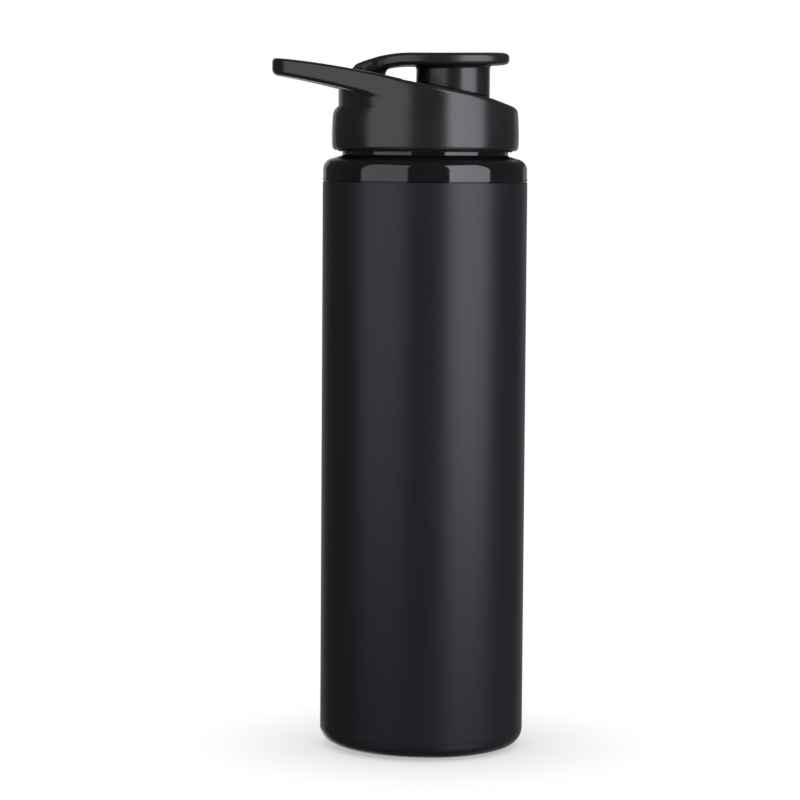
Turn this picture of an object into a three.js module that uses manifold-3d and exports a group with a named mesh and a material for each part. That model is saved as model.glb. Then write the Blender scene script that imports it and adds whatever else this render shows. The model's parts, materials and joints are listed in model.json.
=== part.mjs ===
// A protein shaker bottle: a coated steel can with a glossy threaded collar, a screw lid with a carry loop,
// a flip cap over the drinking spout, and a loose whisk ball inside. Millimetres, +Z up. The origin is where the
// bottle's axis meets the surface that it stands on. The carry loop points to -X and the thumb tab to +X.
import * as THREE from "three";
import { mergeVertices } from "three/addons/utils/BufferGeometryUtils.js";
import Module from "manifold-3d";

const wasm = await Module();
wasm.setup();

// ---------------------------------------------------------------- driving dimensions
const TURN_STEPS = 40; // facets round a full turn
const ARC_STEPS = 4; // facets in a fillet
const PIECE_GAP = 0.3; // clearance between pieces that seat on each other

// Can
const bottleRadius = 36.5;
const canTop = 202.6; // the seam between can and collar
const canWall = 0.6;
const baseCorner = 6;
const footWidth = 3.2; // flat ring round the base recess
const recessDepth = 1;
const padProud = 0.4; // how far the base pad stands below the can's foot

// Collar and neck
const shoulderWidth = 6.9; // from the can's outside in to the neck's bead
const shoulderHeight = 9.2; // from the seam up to the neck
const shoulderCorner = 3.4;
const beadHeight = 2.4;
const beadDepth = 1.2;
const neckWall = 2.9;
const neckHeight = 11.8; // from the shoulder up to the rim
const collarWall = 2.8;
const collarReach = 8; // how far the collar goes down into the can
const sealSection = 1.8; // thickness of the seal ring between can and collar

// Thread
const threadPitch = 3.6;
const threadDepth = 1.3;
const threadClearance = 0.7; // from the neck's thread crest to the insert's wall
const threadStart = 4.6; // the thread's first turn above the shoulder
const threadTop = 2.8; // its last turn below the neck's rim

// Lid
const lidLift = 1.4; // gap between shoulder and lid
const coverLift = 0.3; // the cover's edge above the insert's
const insertWall = 1.3;
const insertPlate = 1.4;
const coverWall = 1.3;
const deckWall = 1.8;
const gasketThickness = 1.5;
const gasketWidth = 2.6;
const plugRingDepth = 4; // how far the insert's inner ring goes down into the neck
const plugRingWall = 1.6;
const barrelBulge = 0.5; // how much the cover's side draws in towards its top
const deckRise = 13.05; // the deck above the neck's rim, at the bottle's axis
const deckSlope = 0.19;
const deckBendLength = 13.3; // the deck is steeper over this length at the front
const deckBendSlope = 0.15;
const deckBendRound = 2;
const recessDepthInside = 2.2; // how far the cover's wall is set back under the loop
const recessFloor = 5.6; // above the neck's rim
const recessRound = 3.4; // the rounded shoulder under the set-back wall

// Carry loop
const loopReach = 21.4; // from the cover's side to the loop's tip
const loopTipRadius = 10.8;
const loopBand = 5.3; // width of the loop's band, seen from above
const loopTipThickness = 6;
const loopRootThickness = 8.9;
const loopStart = 10; // the loop steepens from here, behind the bottle's axis, and levels out towards its tip
const loopStartRound = 3;
const loopSteepening = 0.062;
const loopLevelling = 0.00178; // for each millimetre

// Spout and flip cap
const spoutOffset = 9.7; // from the bottle's axis to the spout's
const spoutRadius = 9.8;
const spoutWall = 2.2;
const spoutTopDrop = 3.5; // the spout's lip below the flip plate
const cupClearance = 1.7; // all round the spout
const cupWall = 1.6;
const cupTop = 1.2;
const cupGap = 0.5; // from the deck up to the cup's edge
const plateRise = 8.91; // the flip plate's underside above the deck, at the spout
const plateThickness = 4.3;
const plateHalfWidth = 17.6;
const plateInset = 3.6; // the thumb tab's end, in from the cover's side
const tabLift = 0.6; // how far the thumb tab's end curves up
const strapHalfWidth = 6.2;
const strapBendStart = -6; // where the flat plate starts to bend down to its hinge
const barrelRadius = 3.2;
const hingeInset = 5.1; // the hinge's axis, in from the cover's set-back wall
const hingeDepth = 3; // the hinge's axis below the deck
const pinRadius = 1.2;
const pinClearance = 0.25;
const pinGrip = 4.5; // length of pin in each side of the cover
const plateLeftGap = 4.4; // from the hinge to the plate's rounded end

// Whisk ball
const ballRadius = 21;
const ballWire = 2;
const ballTurns = 7;
const ballPole = 14; // degrees from the pole at which the wire ends

// ---------------------------------------------------------------- derived sizes
const canFoot = padProud;
const floorTop = canFoot + recessDepth + canWall;
const footInner = bottleRadius - baseCorner - footWidth;
const canBore = bottleRadius - canWall;

const neckBase = canTop + shoulderHeight;
const beadRadius = bottleRadius - shoulderWidth;
const neckRadius = beadRadius - beadDepth;
const boreRadius = neckRadius - neckWall;
const rimZ = neckBase + neckHeight;
const collarOuter = canBore - PIECE_GAP;
const collarInner = collarOuter - collarWall;
const sealZ = canTop - collarReach / 2;

const threadCrest = neckRadius + threadDepth;
const threadTurns = (neckHeight - threadStart - threadTop) / threadPitch;
const insertBore = threadCrest + threadClearance;
const insertRadius = insertBore + insertWall;
const coverBore = insertRadius + PIECE_GAP;
const lidRadius = coverBore + coverWall;
const lidBottom = neckBase + lidLift;
const coverBottom = lidBottom + coverLift;
const gasketZ = rimZ + PIECE_GAP;
const plateUnder = gasketZ + gasketThickness + PIECE_GAP;
const insertTop = plateUnder + insertPlate;
const plugRingOuter = boreRadius - 0.5;

const deckAxisZ = rimZ + deckRise;
const deckBendX = lidRadius - deckBendLength;
const coreLeft = lidRadius - recessDepthInside;
const loopTipX = lidRadius + loopReach;
const loopTipCentre = loopTipX - loopTipRadius;
const recessZ = rimZ + recessFloor;

const flipUnder = deckZ(spoutOffset) + plateRise;
const flipTop = flipUnder + plateThickness;
const plateEnd = lidRadius - plateInset;
const clearTop = flipTop + tabLift + 1; // a height above every piece
const hingeX = hingeInset - coreLeft;
const hingeZ = deckZ(hingeX) - hingeDepth;
const spoutTop = flipUnder - spoutTopDrop;
const spoutBore = spoutRadius - spoutWall;
const cupRadius = spoutRadius + cupClearance + cupWall;
const strapDrop = flipUnder + plateThickness / 2 - hingeZ;
const strapRun = strapBendStart - hingeX;
const strapRadius = (strapRun ** 2 + strapDrop ** 2) / (2 * strapDrop);
const strapCentreZ = flipUnder + plateThickness / 2 - strapRadius;
const ballReach = ballRadius - ballWire / 2; // from the ball's centre to the wire's

// Height of the cover's upper surface, which slopes down from the loop's tip to the front of the lid.
function deckZ(x) {
  const front = Math.hypot(Math.max(0, x - deckBendX), deckBendRound) - deckBendRound;
  const back = (Math.hypot(-x - loopStart, loopStartRound) - x - loopStart) / 2;
  const loopRise = loopSteepening * back - loopLevelling * back ** 2;
  return deckAxisZ - deckSlope * x - deckBendSlope * front + loopRise;
}

// Height that the flip plate gains over x, as it curves up towards its thumb tab.
function lift(x) {
  return tabLift * (Math.max(0, x) / plateEnd) ** 2;
}

// ---------------------------------------------------------------- solids
function solid(geometry) {
  const plain = geometry.index ? geometry.toNonIndexed() : geometry.clone();
  plain.deleteAttribute("normal");
  plain.deleteAttribute("uv");
  const merged = mergeVertices(plain, 1e-4);
  const corners = merged.index.array;
  const triangles = [];
  for (let i = 0; i < corners.length; i += 3) {
    const [a, b, c] = [corners[i], corners[i + 1], corners[i + 2]];
    if (a !== b && b !== c && c !== a) triangles.push(a, b, c);
  }
  return new wasm.Manifold(
    new wasm.Mesh({
      numProp: 3,
      vertProperties: merged.attributes.position.array,
      triVerts: new Uint32Array(triangles),
    }),
  );
}

function geometryOf(manifold) {
  const mesh = manifold.getMesh();
  const geometry = new THREE.BufferGeometry();
  geometry.setAttribute("position", new THREE.BufferAttribute(mesh.vertProperties, 3));
  geometry.setIndex(new THREE.BufferAttribute(mesh.triVerts, 1));
  geometry.computeVertexNormals();
  return geometry;
}

// A profile of [radius, height] pairs, listed anticlockwise, turned about the Z axis.
function turned(profile, steps = TURN_STEPS) {
  const points = profile.map(([r, z]) => new THREE.Vector2(r, z));
  const onAxis = profile[0][0] === 0 && profile[profile.length - 1][0] === 0;
  if (!onAxis) points.push(points[0].clone());
  return solid(new THREE.LatheGeometry(points, steps).rotateX(Math.PI / 2));
}

// Points on an arc about (cx, cz), from one angle to another in degrees.
function arc(cx, cz, radius, from, to, steps = ARC_STEPS) {
  return Array.from({ length: steps + 1 }, (_, i) => {
    const a = THREE.MathUtils.degToRad(from + ((to - from) * i) / steps);
    return [cx + radius * Math.cos(a), cz + radius * Math.sin(a)];
  });
}

function shapeOf(points) {
  return new THREE.Shape(points.map(([x, y]) => new THREE.Vector2(x, y)));
}

// A plan outline in XY, raised from one height to another.
function raised(shape, low, high, curveSegments = TURN_STEPS / 2) {
  const options = { depth: high - low, bevelEnabled: false, curveSegments };
  return solid(new THREE.ExtrudeGeometry(shape, options).translate(0, 0, low));
}

// A side outline in XZ, as thick as the given half width on each side of the XZ plane.
function crosswise(shape, halfWidth) {
  const options = { depth: 2 * halfWidth, bevelEnabled: false, curveSegments: TURN_STEPS / 2 };
  const geometry = new THREE.ExtrudeGeometry(shape, options);
  return solid(geometry.translate(0, 0, -halfWidth).rotateX(Math.PI / 2));
}

function post(x, radius, low, high, steps = TURN_STEPS) {
  const height = high - low;
  const geometry = new THREE.CylinderGeometry(radius, radius, height, steps).rotateX(Math.PI / 2);
  return solid(geometry.translate(x, 0, low + height / 2));
}

function rod(x, z, radius, halfLength, steps = 24) {
  const geometry = new THREE.CylinderGeometry(radius, radius, 2 * halfLength, steps);
  return solid(geometry.translate(x, 0, z));
}

// A ridge along a helix, for a screw thread. It tapers away over a fifth of a turn at each end.
// rootRadius is where it joins the wall and crestRadius where it ends; a crest smaller than the root faces inwards.
function ridge(rootRadius, crestRadius, startZ, rootHeight, crestHeight) {
  const steps = Math.round(TURN_STEPS * threadTurns);
  const taper = TURN_STEPS / 5;
  const sunk = rootRadius < crestRadius ? -0.4 : 0.4;
  const vertices = [];
  for (let i = 0; i <= steps; i++) {
    const angle = (i / TURN_STEPS) * 2 * Math.PI;
    const z = startZ + (i / TURN_STEPS) * threadPitch;
    const full = Math.min(1, 0.05 + i / taper, 0.05 + (steps - i) / taper);
    const crest = rootRadius + (crestRadius - rootRadius) * full;
    const section = [
      [rootRadius + sunk, z - rootHeight / 2],
      [crest, z - crestHeight / 2],
      [crest, z + crestHeight / 2],
      [rootRadius + sunk, z + rootHeight / 2],
    ];
    for (const [r, h] of section) vertices.push(r * Math.cos(angle), r * Math.sin(angle), h);
  }
  const faces = [0, 1, 2, 0, 2, 3];
  for (let i = 0; i < steps; i++) {
    for (let k = 0; k < 4; k++) {
      const [a, b] = [4 * i + k, 4 * i + ((k + 1) % 4)];
      faces.push(a, a + 4, b, b, a + 4, b + 4);
    }
  }
  const last = 4 * steps;
  faces.push(last, last + 2, last + 1, last, last + 3, last + 2);
  if (crestRadius < rootRadius) faces.reverse();
  const geometry = new THREE.BufferGeometry();
  geometry.setAttribute("position", new THREE.Float32BufferAttribute(vertices, 3));
  geometry.setIndex(faces);
  return solid(geometry);
}

// The outline round two circles on the X axis: a large one about the origin and a small one at -distance.
function teardrop(largeRadius, smallRadius, distance) {
  const lean = Math.asin((largeRadius - smallRadius) / distance);
  const shape = new THREE.Shape();
  shape.absarc(0, 0, largeRadius, -Math.PI / 2 - lean, Math.PI / 2 + lean, false);
  shape.absarc(-distance, 0, smallRadius, Math.PI / 2 + lean, (3 * Math.PI) / 2 - lean, false);
  return shape;
}

// Side outline of everything between two curves of height over x.
function between(lowZ, highZ, fromX, toX, steps = 24) {
  const at = (i) => fromX + ((toX - fromX) * i) / steps;
  const lower = Array.from({ length: steps + 1 }, (_, i) => [at(i), lowZ(at(i))]);
  const upper = Array.from({ length: steps + 1 }, (_, i) => [at(i), highZ(at(i))]);
  return shapeOf([...lower, ...upper.reverse()]);
}

// ---------------------------------------------------------------- bottle
function bodyCan() {
  const outerCornerX = bottleRadius - baseCorner;
  const innerCorner = baseCorner - canWall;
  return turned([
    [0, canFoot + recessDepth],
    [footInner - recessDepth, canFoot + recessDepth],
    [footInner, canFoot],
    ...arc(outerCornerX, canFoot + baseCorner, baseCorner, -90, 0),
    [bottleRadius, canTop],
    [canBore, canTop],
    ...arc(outerCornerX, canFoot + baseCorner, innerCorner, 0, -60, 3),
    [footInner, floorTop],
    [0, floorTop],
  ]);
}

function basePad() {
  const edge = 0.3;
  const radius = footInner - recessDepth - PIECE_GAP;
  const top = canFoot + recessDepth - PIECE_GAP;
  return turned([
    [0, 0],
    [radius - edge, 0],
    [radius, edge],
    [radius, top],
    [0, top],
  ]);
}

function neckCollar() {
  const cornerX = bottleRadius - shoulderCorner;
  const slopeRise = 0.9; // the shoulder's top rises this much towards the neck
  const cornerZ = neckBase - slopeRise - shoulderCorner;
  const grooveDepth = sealSection;
  const grooveHalf = sealSection / 2 + PIECE_GAP;
  const rimRound = 0.7;
  const body = turned([
    [collarInner, canTop - collarReach],
    [collarOuter, canTop - collarReach],
    [collarOuter, sealZ - grooveHalf],
    [collarOuter - grooveDepth, sealZ - grooveHalf],
    [collarOuter - grooveDepth, sealZ + grooveHalf],
    [collarOuter, sealZ + grooveHalf],
    [collarOuter, canTop + PIECE_GAP],
    [bottleRadius, canTop + PIECE_GAP],
    ...arc(cornerX, cornerZ, shoulderCorner, 0, 80),
    [beadRadius + 0.8, neckBase - 0.1],
    [beadRadius, neckBase + 0.6],
    [beadRadius, neckBase + beadHeight],
    [neckRadius, neckBase + beadHeight + 0.5],
    [neckRadius, rimZ - rimRound],
    [neckRadius - rimRound, rimZ],
    [boreRadius + rimRound, rimZ],
    [boreRadius, rimZ - rimRound],
    [boreRadius, neckBase - 2],
    [collarInner - 1, canTop + 3.4],
    [collarInner, canTop + 2],
  ]);
  return body.add(ridge(neckRadius, threadCrest, neckBase + threadStart, 2, 0.8));
}

function collarSeal() {
  const centre = canBore - PIECE_GAP / 3 - sealSection / 2;
  return turned(arc(centre, sealZ, sealSection / 2, 0, 300, 5));
}

// ---------------------------------------------------------------- lid
function lidInsert() {
  const plugRingInner = plugRingOuter - plugRingWall;
  const pocket = boreRadius + gasketWidth + 2 * PIECE_GAP;
  const rebateZ = rimZ - 0.4;
  const shell = turned([
    [plugRingInner, rimZ - plugRingDepth],
    [plugRingOuter - 0.5, rimZ - plugRingDepth],
    [plugRingOuter, rimZ - plugRingDepth + 0.8],
    [plugRingOuter, plateUnder],
    [pocket, plateUnder],
    [pocket + 0.6, rebateZ],
    [insertBore, rebateZ - 0.6],
    [insertBore, lidBottom],
    [insertRadius - 0.9, lidBottom],
    [insertRadius, lidBottom + 0.8],
    [insertRadius, rimZ + 1],
    [insertRadius - 2.2, insertTop],
    [0, insertTop],
    [0, plateUnder],
    [plugRingInner, plateUnder],
  ]);
  const thread = ridge(insertBore, neckRadius + 0.6, neckBase + threadStart - threadPitch / 2, 1.9, 0.7);
  return shell
    .add(thread)
    .add(post(spoutOffset, spoutRadius, plateUnder + 0.2, spoutTop))
    .subtract(post(spoutOffset, spoutBore, plateUnder - 1, spoutTop + 1));
}

function lidGasket() {
  const inner = plugRingOuter + PIECE_GAP;
  return turned([
    [inner, gasketZ],
    [inner + gasketWidth, gasketZ],
    [inner + gasketWidth, gasketZ + gasketThickness],
    [inner, gasketZ + gasketThickness],
  ]);
}

// The wide circle, centred towards the front, that the cover's wall is set back to under the loop. It meets the
// lid's own circle where the loop's arms leave it.
function setBackCircle() {
  const lean = Math.asin((lidRadius - loopTipRadius) / loopTipCentre);
  const x = (lidRadius ** 2 - coreLeft ** 2) / (2 * (coreLeft - lidRadius * Math.sin(lean)));
  return [x, coreLeft + x];
}

function carryLoop() {
  const thickness = (x) => {
    const share = (loopTipX + x) / (loopTipX - 10);
    return loopTipThickness + (loopRootThickness - loopTipThickness) * share;
  };
  const band = between((x) => deckZ(x) - thickness(x), deckZ, -loopTipX, -10, 16);
  const topRadius = lidRadius - barrelBulge;
  const outer = teardrop(topRadius, loopTipRadius, loopTipCentre);
  const inner = teardrop(topRadius - loopBand, loopTipRadius - loopBand, loopTipCentre);
  return raised(outer, rimZ, clearTop)
    .subtract(raised(inner, rimZ - 1, clearTop + 1))
    .intersect(crosswise(band, lidRadius + 1));
}

function lidCover() {
  const topRadius = lidRadius - barrelBulge;
  const [setBackX, setBackRadius] = setBackCircle();
  const barrel = turned([
    [0, coverBottom],
    [coverBore + 0.1, coverBottom],
    [lidRadius - 0.45, coverBottom + 1],
    [lidRadius - 0.15, coverBottom + 3],
    [lidRadius, coverBottom + 5.9],
    [topRadius + 0.3, coverBottom + 10.5],
    [topRadius, recessZ],
    [topRadius, clearTop],
    [0, clearTop],
  ]);
  const setBack = turned([
    [0, coverBottom - 1],
    [setBackRadius + 4, coverBottom - 1],
    [setBackRadius + 4, recessZ - recessRound],
    ...arc(setBackRadius + recessDepthInside - recessRound, recessZ - recessRound, recessRound, 0, 70),
    [setBackRadius, recessZ + 0.3],
    [setBackRadius, clearTop],
    [0, clearTop],
  ]).translate([setBackX, 0, 0]);
  const under = (drop) => crosswise(
    between(() => coverBottom - 1, (x) => deckZ(x) - drop, -lidRadius - 1, lidRadius + 1, 18),
    lidRadius + 1,
  );
  const outside = barrel.intersect(setBack).intersect(under(0)).add(carryLoop());
  const hingeBlock = crosswise(
    shapeOf([
      [-lidRadius, hingeZ - 7],
      [hingeX + 7, hingeZ - 7],
      [hingeX + 7, clearTop],
      [-lidRadius, clearTop],
    ]),
    strapHalfWidth + pinGrip + 2,
  );
  const hollow = post(0, topRadius - deckWall, insertTop - 0.2, clearTop)
    .intersect(post(setBackX, setBackRadius - deckWall, insertTop - 0.2, clearTop))
    .intersect(under(deckWall))
    .subtract(hingeBlock);
  const bore = turned([
    [0, coverBottom - 1],
    [coverBore, coverBottom - 1],
    [coverBore, rimZ + 1 + PIECE_GAP / 2],
    [coverBore - 2.2, insertTop + PIECE_GAP],
    [0, insertTop + PIECE_GAP],
  ]);
  return outside
    .subtract(bore)
    .subtract(hollow)
    .subtract(post(spoutOffset, spoutRadius + 0.4, insertTop, clearTop))
    .subtract(hingePocket());
}

// The slot that the strap's barrel turns in, open to the loop's side, with its pin's holes.
function hingePocket() {
  const side = 0.5;
  const floor = hingeZ - barrelRadius - 0.6;
  const slot = crosswise(
    shapeOf([
      [-lidRadius - 2, floor],
      [hingeX + barrelRadius + 0.6, floor],
      [hingeX + barrelRadius + 2.4, clearTop],
      [-lidRadius - 2, clearTop],
    ]),
    strapHalfWidth + side,
  );
  const strapRoom = crosswise(strapSide(0.7), plateHalfWidth).intersect(
    raised(platePlan(side), recessZ, clearTop),
  );
  const pinHoles = rod(hingeX, hingeZ, pinRadius + pinClearance, strapHalfWidth + pinGrip + PIECE_GAP);
  return slot.add(strapRoom).add(pinHoles);
}

// ---------------------------------------------------------------- flip cap
// Side outline of the plate and the strap that bends down from it to the hinge, grown all round by grow.
function strapSide(grow = 0) {
  const half = plateThickness / 2 + grow;
  const end = THREE.MathUtils.radToDeg(Math.asin(strapRun / strapRadius));
  const outer = arc(strapBendStart, strapCentreZ, strapRadius + half, 90, 90 + end, 12);
  const inner = arc(strapBendStart, strapCentreZ, strapRadius - half, 90 + end, 90, 12);
  const steps = 8;
  const at = (i) => ((plateEnd + 1) * i) / steps;
  const under = Array.from({ length: steps + 1 }, (_, i) => [at(i), flipUnder + lift(at(i)) - grow]);
  const top = under.map(([x, z]) => [x, z + 2 * half]).reverse();
  return shapeOf([...under, ...top, ...outer, ...inner]);
}

// Plan of the plate: an oval with the strap running out of it to the hinge.
function platePlan(grow = 0) {
  const right = plateEnd + grow;
  const left = hingeX + plateLeftGap - grow;
  const centre = (left + right) / 2;
  const halfLength = (right - left) / 2;
  const halfWidth = plateHalfWidth + grow;
  const strap = strapHalfWidth + grow;
  const joinAngle = Math.PI - Math.asin(Math.min(1, strap / halfWidth));
  const shape = new THREE.Shape();
  shape.absellipse(centre, 0, halfLength, halfWidth, -joinAngle, joinAngle, false, 0);
  shape.lineTo(hingeX - barrelRadius, strap);
  shape.lineTo(hingeX - barrelRadius, -strap);
  return shape;
}

function flipStrap() {
  const plate = crosswise(strapSide(), plateHalfWidth + 1);
  return plate
    .intersect(raised(platePlan(), recessZ, clearTop, 20))
    .add(rod(hingeX, hingeZ, barrelRadius, strapHalfWidth))
    .subtract(rod(hingeX, hingeZ, pinRadius + pinClearance, strapHalfWidth + 1));
}

function capCup() {
  const steps = 36;
  const low = deckZ(spoutOffset + cupRadius) - 2;
  const roof = flipUnder - PIECE_GAP - cupTop;
  const [left, right] = [spoutOffset - cupRadius - 1, spoutOffset + cupRadius + 1];
  const edge = (x) => deckZ(x) + cupGap;
  const top = (x) => flipUnder + lift(x) - PIECE_GAP;
  return post(spoutOffset, cupRadius, low, flipTop, steps)
    .subtract(post(spoutOffset, cupRadius - cupWall, low - 1, roof, steps))
    .intersect(crosswise(between(edge, top, left, right, 12), cupRadius + 1));
}

function capPlug() {
  const top = flipUnder - PIECE_GAP - cupTop - PIECE_GAP;
  const seat = spoutTop + PIECE_GAP;
  const reach = 5.2;
  const profile = [
    [0, seat - reach],
    [spoutBore - 1.2, seat - reach],
    [spoutBore - 0.6, seat - reach + 0.8],
    [spoutBore - 0.3, seat],
    [spoutRadius + 0.3, seat],
    [spoutRadius + 0.3, top],
    [0, top],
  ];
  return turned(profile, 36).translate([spoutOffset, 0, 0]);
}

function hingePin() {
  return rod(hingeX, hingeZ, pinRadius, strapHalfWidth + pinGrip, 16);
}

// ---------------------------------------------------------------- whisk ball
// One wire wound from pole to pole of a sphere.
class BallCurve extends THREE.Curve {
  getPoint(t, target = new THREE.Vector3()) {
    const tilt = THREE.MathUtils.degToRad(ballPole + (180 - 2 * ballPole) * t);
    const turn = ballTurns * 2 * Math.PI * t;
    return target.set(
      ballReach * Math.sin(tilt) * Math.cos(turn),
      ballReach * Math.sin(tilt) * Math.sin(turn),
      -ballReach * Math.cos(tilt),
    );
  }
}

function whiskBall() {
  const section = new THREE.Shape().absarc(0, 0, ballWire / 2, 0, 2 * Math.PI, false);
  const geometry = new THREE.ExtrudeGeometry(section, {
    steps: ballTurns * 14,
    curveSegments: 4,
    extrudePath: new BallCurve(),
    bevelEnabled: false,
  });
  const lowest = ballReach * Math.cos(THREE.MathUtils.degToRad(ballPole)) + ballWire / 2;
  return solid(geometry.translate(0, 0, floorTop + PIECE_GAP + lowest));
}

// ---------------------------------------------------------------- assembly
const coatedSteel = { color: 0x1b1b1e, roughness: 0.45, metalness: 0.3 };
const glossPlastic = { color: 0x0d0d0f, roughness: 0.08, metalness: 0 };
const satinPlastic = { color: 0x1c1b1e, roughness: 0.35, metalness: 0 };
const clearGrey = { color: 0x3a3a3d, roughness: 0.4, metalness: 0 };
const silicone = { color: 0x9a9a9c, roughness: 0.6, metalness: 0 };
const rubber = { color: 0x161617, roughness: 0.8, metalness: 0 };
const bareSteel = { color: 0xb8bcc0, roughness: 0.25, metalness: 1 };

const pieces = {
  bottle: {
    body_can: [bodyCan, coatedSteel],
    base_pad: [basePad, rubber],
    neck_collar: [neckCollar, glossPlastic],
    collar_seal: [collarSeal, silicone],
  },
  lid: {
    lid_cover: [lidCover, satinPlastic],
    lid_insert: [lidInsert, clearGrey],
    lid_gasket: [lidGasket, silicone],
    hinge_pin: [hingePin, bareSteel],
  },
  flip_cap: {
    flip_strap: [flipStrap, satinPlastic],
    cap_cup: [capCup, satinPlastic],
    cap_plug: [capPlug, silicone],
  },
  agitator: {
    whisk_ball: [whiskBall, bareSteel],
  },
};

const shaker = new THREE.Group();
for (const [groupName, members] of Object.entries(pieces)) {
  const group = new THREE.Group();
  group.name = groupName;
  for (const [name, [make, finish]] of Object.entries(members)) {
    const mesh = new THREE.Mesh(geometryOf(make()), new THREE.MeshStandardMaterial(finish));
    mesh.name = name;
    group.add(mesh);
  }
  shaker.add(group);
}

export default shaker;
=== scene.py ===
"""Looks for a protein shaker bottle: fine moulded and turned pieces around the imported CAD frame.

The pieces are modelled in millimetres and their meshes are stored in metres. Sizes that the frame holds
are read from its boxes and joints; the others are the named values below.
"""

import json
import math

import bpy
import numpy as np
from mathutils import Matrix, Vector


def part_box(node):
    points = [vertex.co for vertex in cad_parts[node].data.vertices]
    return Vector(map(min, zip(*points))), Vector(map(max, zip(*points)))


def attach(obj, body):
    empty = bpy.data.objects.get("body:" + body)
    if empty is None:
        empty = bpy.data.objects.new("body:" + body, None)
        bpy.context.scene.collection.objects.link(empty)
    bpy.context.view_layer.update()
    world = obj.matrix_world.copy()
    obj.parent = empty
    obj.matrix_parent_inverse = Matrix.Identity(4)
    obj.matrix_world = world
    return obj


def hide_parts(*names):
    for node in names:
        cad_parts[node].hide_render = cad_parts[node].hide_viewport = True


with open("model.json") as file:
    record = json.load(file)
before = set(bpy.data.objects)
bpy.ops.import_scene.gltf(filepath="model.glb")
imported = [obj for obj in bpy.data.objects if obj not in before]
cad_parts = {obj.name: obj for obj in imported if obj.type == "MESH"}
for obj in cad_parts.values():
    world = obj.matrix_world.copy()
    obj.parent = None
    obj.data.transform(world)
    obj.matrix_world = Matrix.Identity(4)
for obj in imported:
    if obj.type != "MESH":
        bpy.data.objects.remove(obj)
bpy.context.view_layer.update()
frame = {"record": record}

MM = 0.001

# ---------------------------------------------------------------- sizes from the frame


def span(node):
    """Lowest and highest corner of a CAD node, in millimetres."""
    low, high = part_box(node)
    return np.array(low) / MM, np.array(high) / MM


def joint_place(name):
    """Where a joint's axis passes, in millimetres."""
    joints = frame["record"]["behaviour"]["joints"]
    return np.array(next(j for j in joints if j["name"] == name)["pos_m"]) / MM


can_low, can_high = span("body_can")
_, pad_high = span("base_pad")
collar_low, collar_high = span("neck_collar")
seal_low, seal_high = span("collar_seal")
cover_low, cover_high = span("lid_cover")
insert_low, insert_high = span("lid_insert")
gasket_low, gasket_high = span("lid_gasket")
pin_low, pin_high = span("hinge_pin")
flip_low, flip_high = span("flip_strap")
cup_low, cup_high = span("cap_cup")
plug_low, plug_high = span("cap_plug")
ball_low, ball_high = span("whisk_ball")

BOTTLE_RADIUS = can_high[0]
FOOT_Z = can_low[2]
SEAM_Z = can_high[2]
RIM_Z = collar_high[2]
LID_RADIUS = cover_high[0]
COVER_BOTTOM = cover_low[2]
LOOP_TIP = -cover_low[0]
PLATE_END = flip_high[0]
PLATE_HALF_WIDTH = flip_high[1]
SPOUT_X = (cup_low[0] + cup_high[0]) / 2
CUP_RADIUS = (cup_high[0] - cup_low[0]) / 2
SPOUT_TOP = insert_high[2]
INSERT_RADIUS = insert_high[0]
HINGE_X, _, HINGE_Z = joint_place("flip_open")
PIN_RADIUS = (pin_high[0] - pin_low[0]) / 2

# ---------------------------------------------------------------- sizes of the fine shapes, in millimetres
CAN_WALL = 0.6
BASE_CORNER = 6.0
FOOT_RING = 3.2
BASE_RECESS = 1.0

BEAD_RADIUS = BOTTLE_RADIUS - 6.9
NECK_RADIUS = BEAD_RADIUS - 1.2
NECK_WALL = 2.9
SHOULDER_Z = RIM_Z - 11.8
SHOULDER_CORNER = 4.0
THREAD_PITCH = 3.6
THREAD_DEPTH = 1.3
THREAD_START = 4.6
THREAD_TURNS = 1.22

WIDEST_RISE = 5.9
BARREL_DRAW, BARREL_TUCK = 0.5, 0.35
DECK_RISE = 13.05
DECK_SLOPE = 0.19
FRONT_BEND, FRONT_SLOPE, FRONT_ROUND = 13.3, 0.15, 2.0
LOOP_START, LOOP_START_ROUND = 10.0, 3.0
LOOP_STEEPENING, LOOP_LEVELLING = 0.062, 0.00178
RIM_ROUND, BOTTOM_ROUND = 1.6, 1.5
DECK_WALL = 1.8
RECESS_Z = RIM_Z + 5.6
RECESS_ROUND = 3.4
RECESS_DEPTH = 2.2
RECESS_SOFTNESS = 0.7
RECESS_CLIMB = 0.985
LOOP_TIP_RADIUS = 10.8
LOOP_BAND = 5.3
LOOP_TIP_THICKNESS, LOOP_ROOT_THICKNESS = 6.0, 8.9
LOOP_ROOT_X, LOOP_END_X = -10, -9
LOOP_SINK, LOOP_SINK_START, LOOP_SINK_RUN = 1.2, -20, 11
LOOP_BLEND = 0.9
LOOP_TOP_ROUND, LOOP_UNDER_ROUND, LOOP_INNER_ROUND = 1.5, 1.9, 1.4

COVER_TO_INSERT = 0.3
INSERT_WALL = 1.3
INSERT_CONE_RISE = 1.15
INSERT_CONE_NORMAL = (0.768, 0.64)
INSERT_ROOM_TOP = RIM_Z + 3.8
INSERT_PLATE_UNDER = RIM_Z + 2.1
INSERT_PLATE = 1.4
PLUG_RING_WALL, PLUG_RING_REACH, PLUG_RING_GAP = 1.6, 4, 0.5

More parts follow.
